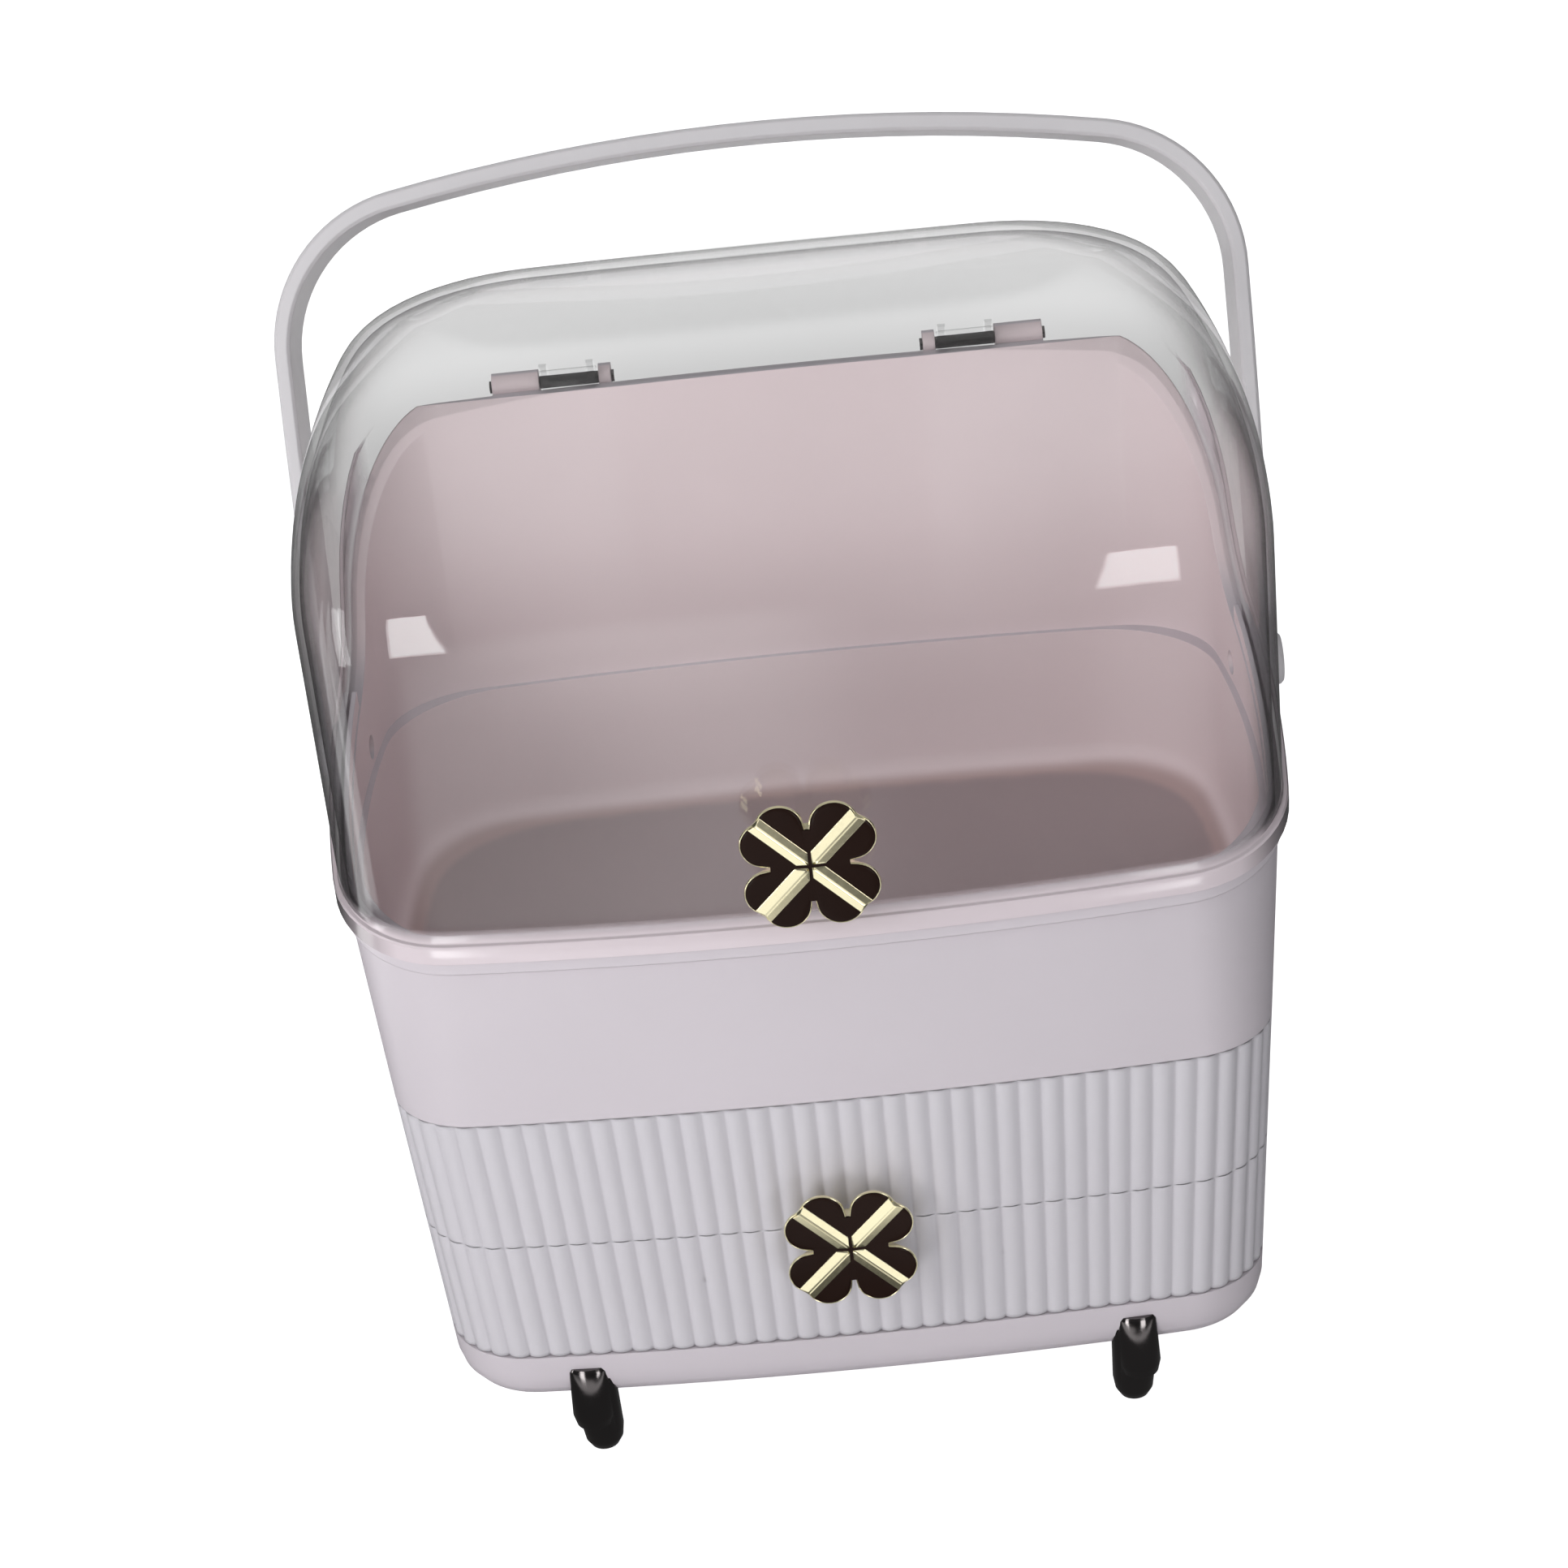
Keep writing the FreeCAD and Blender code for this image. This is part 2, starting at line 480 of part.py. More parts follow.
# ---------------------------------------------------------------- feet
def foot(x, y):
    """Bullet foot with a small flat tip, and a round pad that clasps the rounded edge of the pan."""
    sx, sy = (-1 if x < 0 else 1), (-1 if y < 0 else 1)
    s = Part.makeCylinder(6.7, 17.0, V(x, y, 8.0))
    for z0, z1, r0, r1 in ((0.0, 1.2, 2.6, 4.6), (1.2, 3.8, 4.6, 6.1), (3.8, 8.0, 6.1, 6.7)):
        s = s.fuse(Part.makeCone(r0, r1, z1 - z0, V(x, y, z0)))
    px, py = x + sx * 2.0, y + sy * 2.6
    s = s.fuse(Part.makeCylinder(6.8, 12.0, V(px, py, 15.5))).fuse(Part.makeCone(6.0, 6.8, 3.5, V(px, py, 12.0)))
    s = s.fuse(Part.makeCone(6.8, 6.0, 1.0, V(px, py, 27.5)))
    s = s.cut(pan_form()).cut(cyl(1.6, (x, y, 8.0), (x, y, 40.0)))
    return sorted(s.Solids, key=lambda q: q.Volume)[-1]


# ---------------------------------------------------------------- build
save(upper_tub(), "upper_tub")
save(base_pan(), "base_pan")
save(rib_shell(), "rib_shell")
names = ("foot_front_left", "foot_front_right", "foot_rear_left", "foot_rear_right")
for (x, y), name in zip(FEET_XY, names):
    save(foot(x, y), name)
save(Part.makeCompound([cyl(1.6, (x, y, 8.5), (x, y, 30.0)) for x, y in FEET_XY]), "foot_studs")
save(Part.makeCompound([screw((x, y, 125.6), (x, y, 141.0), 1.4, 3.0, 2.0) for x, y in SCREW_XY]), "body_screws")
for sx, side in ((-1, "left"), (1, "right")):
    save(runner(sx), "runner_" + side)
    save(hinge_bracket(sx), "hinge_bracket_" + side)
    save(cyl(PIN_R, (sx * 50.6, HINGE_Y, HINGE_Z), (sx * 92.0, HINGE_Y, HINGE_Z)), "hinge_pin_" + side)
    save(pivot(sx), "handle_pivot_" + side)
save(drawer_front(), "drawer_front")
save(drawer_tray(), "drawer_tray")
plate, inlay = knob(SEAT_Y, -100.0, KNOB_Z)
save(plate, "drawer_knob")
save(inlay, "drawer_knob_inlay")
save(screw((0, -78.9, KNOB_Z), (0, -93.0, KNOB_Z), 1.6, 3.6, 2.2), "drawer_knob_screw")
save(Part.makeCompound([screw((x, TRAY_Y0 + 3.2, z), (x, -82.6, z), 1.4, 2.8, 1.6) for x, z in FRONT_SCREWS]), "drawer_screws")
save(hood_shell(), "hood_shell")
plate, inlay = knob(-92.8, -105.0, HOOD_KNOB_Z)
save(plate, "hood_knob")
save(inlay, "hood_knob_inlay")
save(screw((0, -90.35, HOOD_KNOB_Z), (0, -98.3, HOOD_KNOB_Z), 1.6, 3.6, 2.0), "hood_knob_screw")
save(handle_strap(), "handle_strap")
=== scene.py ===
import bpy
import bmesh
import json
import math
from mathutils import Matrix, Vector


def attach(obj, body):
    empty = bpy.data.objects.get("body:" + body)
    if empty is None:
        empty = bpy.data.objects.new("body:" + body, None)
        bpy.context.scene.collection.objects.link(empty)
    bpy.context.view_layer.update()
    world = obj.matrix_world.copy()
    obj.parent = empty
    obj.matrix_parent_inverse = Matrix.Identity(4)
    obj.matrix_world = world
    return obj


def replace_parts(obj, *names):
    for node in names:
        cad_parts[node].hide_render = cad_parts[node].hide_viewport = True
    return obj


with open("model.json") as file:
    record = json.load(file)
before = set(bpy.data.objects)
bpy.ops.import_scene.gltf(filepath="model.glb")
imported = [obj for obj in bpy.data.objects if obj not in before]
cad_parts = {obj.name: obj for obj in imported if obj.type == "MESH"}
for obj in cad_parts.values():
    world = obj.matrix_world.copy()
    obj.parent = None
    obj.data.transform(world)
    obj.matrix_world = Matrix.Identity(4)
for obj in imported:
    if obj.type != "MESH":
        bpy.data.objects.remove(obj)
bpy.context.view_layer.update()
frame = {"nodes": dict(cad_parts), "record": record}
nodes = frame["nodes"]
slot_of = {s["node"]: s["material_slot"] for s in frame["record"]["subparts"]}
MM = 0.001
Y0 = -2.2          # mm, depth offset of the frame against the body's own middle


# ------------------------------------------------------------------ node helpers
def grey(v):
    return (v, v, v, 1.0)


class Tree:
    """Node tree with short calls; a value is either a socket, which gets linked, or plain."""

    def __init__(self, tree):
        tree.nodes.clear()
        self.tree = tree

    def node(self, kind, inputs=None, **settings):
        n = self.tree.nodes.new(kind)
        for key, value in settings.items():
            setattr(n, key, value)
        for key, value in (inputs or {}).items():
            if isinstance(value, bpy.types.NodeSocket):
                self.tree.links.new(value, n.inputs[key])
            else:
                n.inputs[key].default_value = value
        return n

    def place(self):
        return self.node("ShaderNodeTexCoord").outputs["Object"]

    def split(self, vector):
        return self.node("ShaderNodeSeparateXYZ", {0: vector}).outputs

    def noise(self, coord, scale, detail):
        return self.node("ShaderNodeTexNoise", {"Scale": scale, "Detail": detail, "Roughness": 0.55,
                                                "Vector": coord}).outputs["Fac"]

    def ramp(self, value, *stops):
        """Colour ramp; a stop is a position with a colour or a plain grey level."""
        r = self.node("ShaderNodeValToRGB", {0: value})
        stops = [(p, c if isinstance(c, tuple) else grey(c)) for p, c in stops]
        els = r.color_ramp.elements
        for e, (p, c) in ((els[0], stops[0]), (els[1], stops[-1])):
            e.position, e.color = p, c
        for p, c in stops[1:-1]:
            els.new(p).color = c
        return r.outputs[0]

    def span(self, value, lo, hi, to=(0.0, 1.0)):
        """Smooth step of a value from lo to hi."""
        return self.node("ShaderNodeMapRange", {"From Min": lo, "From Max": hi, "To Min": to[0],
                                                "To Max": to[1], "Value": value},
                         interpolation_type="SMOOTHSTEP").outputs[0]

    def calc(self, operation, *values):
        return self.node("ShaderNodeMath", dict(enumerate(values)), operation=operation).outputs[0]

    def both(self, *masks):
        """Product of two or more masks."""
        result = masks[0]
        for m in masks[1:]:
            result = self.calc("MULTIPLY", result, m)
        return result

    def multiply(self, a, b, factor=1.0):
        """Colour a times colour b, all over or by a mask."""
        return self.node("ShaderNodeMix", {"Factor": factor, "A": a, "B": b},
                         data_type="RGBA", blend_type="MULTIPLY").outputs["Result"]

    def choose(self, factor, a, b):
        return self.node("ShaderNodeMixShader", {0: factor, 1: a, 2: b}).outputs[0]

    def bump(self, height, depth_mm, **more):
        return self.node("ShaderNodeBump", {"Distance": depth_mm * MM, "Height": height, **more}).outputs[0]


def new_material(name):
    m = bpy.data.materials.new(name)
    m.use_nodes = True
    return m, Tree(m.node_tree)


# ------------------------------------------------------------------ materials
DRIFT = 14.0                            # scale of the slow colour drift over a moulding
TUB_ABOVE = (0.142, 0.146)              # metres, height over which the tub's painted light and shade begin
TUB_FLOOR_SHADE = (0.157, 0.149)              # its floor's painted shade fades in between these heights
# the hood's painted shade lies within these corners
HOOD_SHADED_CORNER_X = (0.106, 0.134)          # across and along the case, where the hood's upright front
HOOD_SHADED_CORNER_Y = (-0.030, -0.062)        # corners begin
GLOSS_POWER, GLOSS_SPAN, GLOSS_BASE = 5.0, 0.80, 0.030      # mirror share of the clear sheet by angle


def tub_painted_light_and_shade(t, coord, colour, wall_painted_light, floor_painted_shade):
    """Painted light and shade inside the tub: walls turned to its middle drawn lighter and warmer, and the
    level floor drawn darker.
    """
    height = t.split(coord)[2]
    facing = t.node("ShaderNodeNewGeometry").outputs["Normal"]
    flat = t.node("ShaderNodeVectorMath", {0: coord, 1: (1.0, 1.0, 0.0)}, operation="MULTIPLY").outputs[0]
    inward = t.node("ShaderNodeVectorMath", {0: flat, 1: facing}, operation="DOT_PRODUCT").outputs["Value"]
    # painted light: walls turned to the tub's middle are lightened; painted shade: its level floor is
    # darkened
    above = t.span(height, *TUB_ABOVE)
    wall = t.both(t.span(inward, -0.01, -0.04), above)
    level = t.both(t.span(height, *TUB_FLOOR_SHADE), t.span(t.split(facing)[2], 0.55, 0.95), above)
    return t.multiply(t.multiply(colour, wall_painted_light + (1,), wall), floor_painted_shade + (1,), level)


def surface(name, base, rough, vary, rough_span=0.06, bevel=0.0006, metallic=0.0, specular=0.5,
            grain=900.0, grain_depth=0.02, inner=None):
    """Moulded or plated surface: slow colour drift, fine grain, uneven gloss and softened edges.
    grain_depth is in mm, bevel in metres; inner holds the painted light of the tub's inner walls and the
    painted shade of its floor."""
    m, t = new_material(name)
    coord = t.place()
    low, high = (tuple(min(1.0, c * k) for c in base) + (1,) for k in (1 - vary, 1 + vary))
    colour = t.ramp(t.noise(coord, DRIFT, 3.0), (0.3, low), (0.7, high))
    # painted light and shade inside the tub
    if inner:
        colour = tub_painted_light_and_shade(t, coord, colour, *inner)
    gloss = t.ramp(t.noise(coord, grain * 0.25, 5.0), (0.3, rough - rough_span), (0.7, rough + rough_span))
    edge = t.node("ShaderNodeBevel", {"Radius": bevel}, samples=4).outputs[0]
    relief = t.bump(t.noise(coord, grain, 2.0), grain_depth, Normal=edge)
    shader = t.node("ShaderNodeBsdfPrincipled", {
        "Base Color": colour, "Roughness": gloss, "Normal": relief, "Metallic": metallic,
        "Specular IOR Level": specular})
    t.node("ShaderNodeOutputMaterial", {0: shader.outputs[0]})
    return m


def clear_plastic(name):
    """Polished clear sheet: faint smoke tint, with painted shade that darkens it in the upright front corners
    where they are seen edge on, gloss that grows towards grazing angles with very slight flow ripples, and a
    milky pink rolled flange (mesh attribute "flange") with painted shade where it is seen edge on."""
    m, t = new_material(name)
    coord = t.place()
    drift = t.noise(coord, 9.0, 3.0)
    facing = t.node("ShaderNodeLayerWeight", {"Blend": 0.5}).outputs["Facing"]
    x, y, _ = t.split(coord)
    corner = t.both(t.span(t.calc("ABSOLUTE", x), *HOOD_SHADED_CORNER_X), t.span(y, *HOOD_SHADED_CORNER_Y))

    tint = t.ramp(drift, (0.3, (0.988, 0.989, 0.989, 1)), (0.7, (0.996, 0.997, 0.997, 1)))
    tint = t.multiply(tint, t.ramp(facing, (0.55, 1.0), (0.85, 0.93), (1.0, 0.86)))
    # painted shade: the see-through colour darkens strongly in the upright front corners seen edge on
    corner_painted_shade = t.ramp(facing, (0.42, 1.0), (0.62, 0.70), (0.85, 0.46), (1.0, 0.36))
    clear = t.node("ShaderNodeBsdfTransparent", {0: t.multiply(tint, corner_painted_shade, corner)})

    gloss = t.node("ShaderNodeBsdfPrincipled", {
        "Metallic": 1.0, "Base Color": (0.96, 0.97, 0.97, 1),
        "Roughness": t.ramp(t.noise(coord, 60.0, 3.0), (0.35, 0.015), (0.75, 0.05)),
        "Normal": t.bump(t.noise(coord, 7.0, 1.0), 0.10)})
    share = t.calc("MULTIPLY_ADD", t.calc("POWER", facing, GLOSS_POWER), GLOSS_SPAN, GLOSS_BASE)
    sheet = t.choose(share, clear.outputs[0], gloss.outputs[0])

    milky = t.ramp(drift, (0.3, (0.65, 0.575, 0.61, 1)), (0.7, (0.69, 0.61, 0.645, 1)))
    # painted shade: the flange's colour darkens where it is seen edge on
    flange_painted_shade = t.ramp(facing, (0.30, 1.0), (0.55, 0.45), (0.85, 0.10), (1.0, 0.04))
    rolled = t.node("ShaderNodeBsdfPrincipled", {
        "Roughness": 0.16, "IOR": 1.49, "Base Color": t.multiply(milky, flange_painted_shade)})
    mark = t.node("ShaderNodeAttribute", attribute_name="flange").outputs["Fac"]
    t.node("ShaderNodeOutputMaterial", {0: t.choose(mark, sheet, rolled.outputs[0])})
    return m


MOULDED = dict(vary=0.012, rough_span=0.03, grain_depth=0.006)
# painted light that lifts the tub's inner walls, then painted shade that darkens its floor
TUB_PAINTED_LIGHT_AND_SHADE = ((1.37, 1.26, 1.205), (0.60, 0.530, 0.510))
FINISHES = {
    "body_plastic": dict(base=(0.605, 0.558, 0.598), rough=0.42, inner=TUB_PAINTED_LIGHT_AND_SHADE, **MOULDED),
    "rib_plastic": dict(base=(0.595, 0.574, 0.61), rough=0.45, bevel=0.0024, **MOULDED),
    "tray_plastic": dict(base=(0.63, 0.58, 0.61), rough=0.5, vary=0.015, rough_span=0.03, grain_depth=0.01),
    "handle_plastic": dict(base=(0.69, 0.67, 0.69), rough=0.38, bevel=0.0008, **MOULDED),
    "gold": dict(base=(0.93, 0.86, 0.58), rough=0.12, vary=0.03, rough_span=0.05, bevel=0.0003,
                 metallic=1.0, grain=2500.0, grain_depth=0.004),
    "dark_enamel": dict(base=(0.016, 0.008, 0.006), rough=0.18, vary=0.2, bevel=0.0003, specular=0.06,
                        grain_depth=0.004),
    "black_metal": dict(base=(0.13, 0.12, 0.12), rough=0.12, vary=0.1, rough_span=0.04, bevel=0.0004,
                        metallic=1.0, grain_depth=0.004),
    "steel": dict(base=(0.55, 0.55, 0.56), rough=0.32, vary=0.06, bevel=0.0002, metallic=1.0,
                  grain_depth=0.008),
}
MATS = {name: surface(name, **finish) for name, finish in FINISHES.items()}
MATS["clear_plastic"] = clear_plastic("clear_plastic")


# ------------------------------------------------------------------ carried-over solids
def soft_edges(deg):
    """Node group that joins the split corners of a solid and shades it smooth up to an edge angle."""
    g = bpy.data.node_groups.new("soft_edges", "GeometryNodeTree")
    for way in ("INPUT", "OUTPUT"):
        g.interface.new_socket("Geometry", in_out=way, socket_type="NodeSocketGeometry")
    n, l = g.nodes, g.links
    first, last = n.new("NodeGroupInput"), n.new("NodeGroupOutput")
    join = n.new("GeometryNodeMergeByDistance")
    join.inputs["Distance"].default_value = 2e-6
    faces = n.new("GeometryNodeSetShadeSmooth")
    edges = n.new("GeometryNodeSetShadeSmooth")
    edges.domain = "EDGE"
    edges.inputs["Shade Smooth"].default_value = False
    bend = n.new("GeometryNodeInputMeshEdgeAngle")
    over = n.new("FunctionNodeCompare")
    over.data_type, over.operation = "FLOAT", "GREATER_THAN"
    over.inputs[1].default_value = math.radians(deg)
    l.new(bend.outputs["Unsigned Angle"], over.inputs[0])
    l.new(first.outputs[0], join.inputs["Geometry"])
    l.new(join.outputs[0], faces.inputs["Geometry"])
    l.new(faces.outputs[0], edges.inputs["Geometry"])
    l.new(over.outputs[0], edges.inputs["Selection"])
    l.new(edges.outputs[0], last.inputs[0])
    return g


SOFT = soft_edges(32)
for name, o in nodes.items():
    o.data.materials.clear()
    o.data.materials.append(MATS[slot_of[name]])
    if "custom_normal" in o.data.attributes:
        o.data.attributes.remove(o.data.attributes["custom_normal"])
    o.modifiers.new("soft_edges", "NODES").node_group = SOFT


# ------------------------------------------------------------------ mesh helpers
def bridge(bm, a, b):
    """Quads between two closed rows of vertices."""
    for i in range(len(a)):
        j = (i + 1) % len(a)
        bm.faces.new((a[i], a[j], b[j], b[i]))


def add_object(name, data):
    o = bpy.data.objects.new(name, data)
    bpy.context.scene.collection.objects.link(o)
    return o


def add_piece(name, bm, slot, body, sharp=None):
    """Object from a closed mesh, smooth up to the angle sharp, with its finish and its body."""
    bmesh.ops.recalc_face_normals(bm, faces=bm.faces)
    me = bpy.data.meshes.new(name)
    bm.to_mesh(me)
    bm.free()
    if sharp:
        me.polygons.foreach_set("use_smooth", [True] * len(me.polygons))
        me.set_sharp_from_angle(angle=math.radians(sharp))
    me.materials.append(MATS[slot])
    o = add_object(name, me)
    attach(o, body)
    return o


def turns(n):
    return [2 * math.pi * i / n for i in range(n)]


# ------------------------------------------------------------------ clover knobs
LEAF_AT = ((12.7, 7.9), (7.9, 12.7))        # mm, the two round lobes of a leaf
LEAF_R, CORE = 7.3, 11.6                    # lobe radius, half side of the square between the leaves
OUTLINE_STEPS, LATHE_STEPS = 288, 64

# Profiles of the plate and the let-in leaves: (offset of the outline, depth behind the face) in mm.
PLATE = ((-3.2, 4.6), (-2.6, 4.4), (-0.55, 1.6), (-0.1, 0.95), (0.0, 0.55), (-0.1, 0.2), (-0.25, 0.0),
         (-0.42, 0.02), (-0.7, 0.35))
LEAVES = ((-0.5, 0.6), (-0.5, 0.05), (-0.7, -0.1), (-1.2, -0.2), (-2.2, -0.24))
# Cross-sections of the stripes: (offset across, height over the leaves) in mm, seen from the middle.
BROAD = ((-2.9, 0.12), (-0.75, 0.36), (-0.45, 0.30), (0.15, 0.34), (2.9, 0.10))
NARROW = ((-2.7, 0.10), (-0.35, 0.32), (0.0, 0.20), (0.35, 0.30), (2.5, 0.08))
STRIPE_FACE, STRIPE_BASE, STRIPE_START = -0.2, -0.8, 0.7    # face, underside and inner end of a stripe


def leaf_radius(th, grow=0.0):
    """Distance (mm) from the knob's middle to the clover outline in direction th."""
    best, r = 0.0, LEAF_R + grow
    c, s = math.cos(th), math.sin(th)
    for a, b in LEAF_AT:
        for sx in (-1, 1):
            for sz in (-1, 1):
                px, pz = a * sx, b * sz
                d = px * c + pz * s
                h = r * r - (px * px + pz * pz - d * d)
                if h > 0 and d > 0:
                    best = max(best, d + math.sqrt(h))
    return best or CORE / max(abs(c), abs(s)) * 0.999


def stack(name, rings, y_face, zc, slot, body):
    """Closed body from outline rings, both ends capped."""
    bm = bmesh.new()
    rows = []
    for grow, y in rings:
        row = []
        for th in turns(OUTLINE_STEPS):
            r = leaf_radius(th, grow)
            row.append(bm.verts.new((r * math.cos(th) * MM, (y_face + y) * MM, (zc + r * math.sin(th)) * MM)))
        rows.append(row)
    for a, b in zip(rows, rows[1:]):
        bridge(bm, a, b)
    for row in (rows[0], rows[-1]):
        mid = bm.verts.new((0.0, row[0].co.y, zc * MM))
        for a, b in zip(row, row[1:] + row[:1]):
            bm.faces.new((a, b, mid))
    return add_piece(name, bm, slot, body, 28)


def mirrored(section):
    return [(-q, d) for q, d in reversed(section)]


def stripes(name, y_face, zc, slot, body):
    """Four faceted stripes, mitred to a point at the middle and running out to the leaf tips."""
    bm = bmesh.new()
    for deg, section in ((45, BROAD), (225, mirrored(BROAD)), (135, NARROW), (315, mirrored(NARROW))):
        c, s = math.cos(math.radians(deg)), math.sin(math.radians(deg))
        points = [(section[0][0], STRIPE_BASE), *section, (section[-1][0], STRIPE_BASE)]

        def vert(p, q, d):
            x, y, z = p * c - q * s, y_face + STRIPE_FACE - d, zc + p * s + q * c
            return bm.verts.new((x * MM, y * MM, z * MM))

        def tip(q):
            return leaf_radius(math.radians(deg) + math.atan2(q, 20.0), -0.45) - 0.1 - 0.05 * abs(q)

        inner = [vert(STRIPE_START + abs(q), q, d) for q, d in points]
        outer = [vert(tip(q), q, d) for q, d in points]
        bridge(bm, inner, outer)
        bm.faces.new(inner)
        bm.faces.new(outer)
    o = add_piece(name, bm, slot, body)
    bevel = o.modifiers.new("soft", "BEVEL")
    bevel.width, bevel.segments = 0.06 * MM, 2
    bevel.limit_method, bevel.angle_limit = "ANGLE", math.radians(8)


def lathe(name, profile, y_face, zc, slot, body):
    """Piece turned about the knob's axis: profile of (radius, depth behind the face) in mm."""
    bm = bmesh.new()
    rows = [[bm.verts.new((r * math.cos(th) * MM, (y_face + y) * MM, (zc + r * math.sin(th)) * MM))
             for th in turns(LATHE_STEPS)] for r, y in profile]
    for a, b in zip(rows, rows[1:]):
        bridge(bm, a, b)
    bm.faces.new(rows[0])
    bm.faces.new(rows[-1])
    add_piece(name, bm, slot, body, 35)


def clover_knob(tag, y_wall, y_front, zc, body, node, inlay_node):
    """Knob on a wall at y_wall with its plate's face at y_front, both in the body's own depth."""
    y_face, depth = y_front + Y0, y_wall - y_front
    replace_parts(stack(tag + "_plate", PLATE, y_face, zc, "gold", body), node)
    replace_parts(stack(tag + "_leaves", LEAVES, y_face, zc, "dark_enamel", body), inlay_node)
    stripes(tag + "_stripes", y_face, zc, "gold", body)
    flange = [(r, depth - d) for r, d in ((4.4, 3.2), (5.0, 2.0), (6.0, 1.5), (6.2, 1.1), (6.2, 0.0))]
    lathe(tag + "_stem", [(3.9, 4.4), (4.3, 4.7)] + flange, y_face, zc, "gold", body)


clover_knob("front_clover", -87.2, -100.0, 82.0, "drawer", "drawer_knob", "drawer_knob_inlay")
clover_knob("hood_clover", -92.8, -105.0, 219.0, "hood", "hood_knob", "hood_knob_inlay")


# ------------------------------------------------------------------ feet
# The pad of a foot: its place, where it starts and how tall it is (mm), and how far it is drawn up (mm),
# leans back and narrows (shares) at full height.
PAD = dict(x=88.0, y=80.1, z0=15.5, height=12.0, taller=4.0, lean=0.55, narrow=0.10)


def polished_foot(name):
    """The foot with its pad drawn up a little and leaning back, so that its face takes upright glints."""
    me = nodes[name].data.copy()
    for v in me.vertices:
        t = min(1.1, (v.co.z / MM - PAD["z0"]) / PAD["height"])
        if t <= 0:
            continue
        ax = math.copysign(PAD["x"], v.co.x) * MM
        ay = (math.copysign(PAD["y"], v.co.y) + Y0) * MM
        v.co.x = ax + (v.co.x - ax) * (1 - PAD["narrow"] * t)
        if (v.co.y - ay) * v.co.y > 0:
            v.co.y = ay + (v.co.y - ay) * (1 - PAD["lean"] * t)
        v.co.z += PAD["taller"] * t * MM
    o = add_object(name + "_polished", me)
    o.modifiers.new("soft_edges", "NODES").node_group = SOFT
    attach(o, "case")
    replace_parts(o, name)


for end in ("front", "rear"):
    for side in ("left", "right"):
        polished_foot("foot_%s_%s" % (end, side))


# ------------------------------------------------------------------ clear hood
# Outside plan, wall and crown in mm. The crown draws in by ins/front/rear while it turns through 90
# degrees, over a path of length arc for each radian.
HOOD = dict(w=147.0, d=92.8, r=37.0, t=2.4, top=359.0, z1=286.0, ins=53.0, front=64.0, rear=60.0, arc=73.0)
# Parting line in side view: a slope in front, an arc and a steep rise at the back; then the gap over the
# tub, the height of the flange, and where the flange and its tint have faded out towards the back.
RIM = dict(y0=-93.0, z0=188.0, slope=0.28, y1=88.0, z1=300.0, arch=1.75, r=45.0, gap=0.45, flange=5.6,
           ends=79.0, tint_ends=78.0, fade=3.0)
BOW_FRONT, BOW_SIDE = 1380.0, 480.0     # radii of the bowed front and sides
ARCS = (14, 12, 9)                      # steps on the front arc, corner and side arc of a quarter
QUARTER = sum(ARCS)
COLUMNS = 4 * QUARTER
ROWS = 46                               # steps from the rim to the top of the crown
CROWN_RINGS = (0.7, 0.4, 0.15)          # inner rings that close the top, as shares of its outline
# Outline of the flange: (offset outwards, height over the lower edge) in mm.
FLANGE = ((1.6, 0.0), (1.75, 0.15), (1.75, RIM["flange"] - 0.5), (1.3, RIM["flange"]), (0.25, RIM["flange"]))


def plan_point(i, W, D, R, t, cy):
    """Point and outward normal of column i on the bowed, round-cornered plan, inset by t."""
    q, j = divmod(i, QUARTER)
    if q % 2:
        j = QUARTER - j
    r1, r2, W, D, R = BOW_FRONT - t, BOW_SIDE - t, W - t, D - t, R - t
    a, b = r1 - R, r2 - R
    dx, dy = W - r2, D - r1
    d = math.hypot(dx, dy)
    l = (a * a - b * b + d * d) / (2 * d)
    h = math.sqrt(max(a * a - l * l, 0.0))
    cx, cc = l * dx / d, r1 - D + l * dy / d
    k = 1 if cx - h * dy / d > 0 and cc + h * dx / d < 0 else -1
    cx, cc = cx - k * h * dy / d, cc + k * h * dx / d
    e1, e2 = math.atan2(cc - (r1 - D), cx), math.atan2(cc, cx - dx)
    if j < ARCS[0]:
        th, c, r = -math.pi / 2 + (e1 + math.pi / 2) * j / ARCS[0], (0.0, r1 - D), r1
    elif j < ARCS[0] + ARCS[1]:
        th, c, r = e1 + (e2 - e1) * (j - ARCS[0]) / ARCS[1], (cx, cc), R
    else:
        th, c, r = e2 - e2 * (j - ARCS[0] - ARCS[1]) / ARCS[2], (dx, 0.0), r2
    sx, sy = (1 if q < 2 else -1), (1 if q in (0, 3) else -1)
    x, y = c[0] + r * math.cos(th), c[1] + r * math.sin(th)
    return sx * x, sy * y + cy, sx * math.cos(th), sy * math.sin(th)


def rim_height(y, off):
    """Height of the parting line at depth y, shifted by off at right angles."""
    a, b = math.atan(RIM["slope"]), math.atan(RIM["arch"])
    A = (RIM["y0"] - math.sin(a) * off, RIM["z0"] + math.cos(a) * off)
    B = (RIM["y1"] - math.sin(b) * off, RIM["z1"] + math.cos(b) * off)
    s = ((B[0] - A[0]) * math.sin(b) - (B[1] - A[1]) * math.cos(b)) / math.sin(b - a)
    iy, iz = A[0] + s * math.cos(a), A[1] + s * math.sin(a)
    r = RIM["r"] - off
    T = r * math.tan((b - a) / 2)
    ya, yb = iy - T * math.cos(a), iy + T * math.cos(b)
    if y < ya:
        z = A[1] + (y - A[0]) * math.tan(a)
    elif y < yb:
        c = (ya - math.sin(a) * r, iz - T * math.sin(a) + math.cos(a) * r)
        z = c[1] - math.sqrt(r * r - (y - c[0]) ** 2)
    else:
        z = B[1] + (y - B[0]) * math.tan(b)
    return min(z, RIM["z1"] + off)


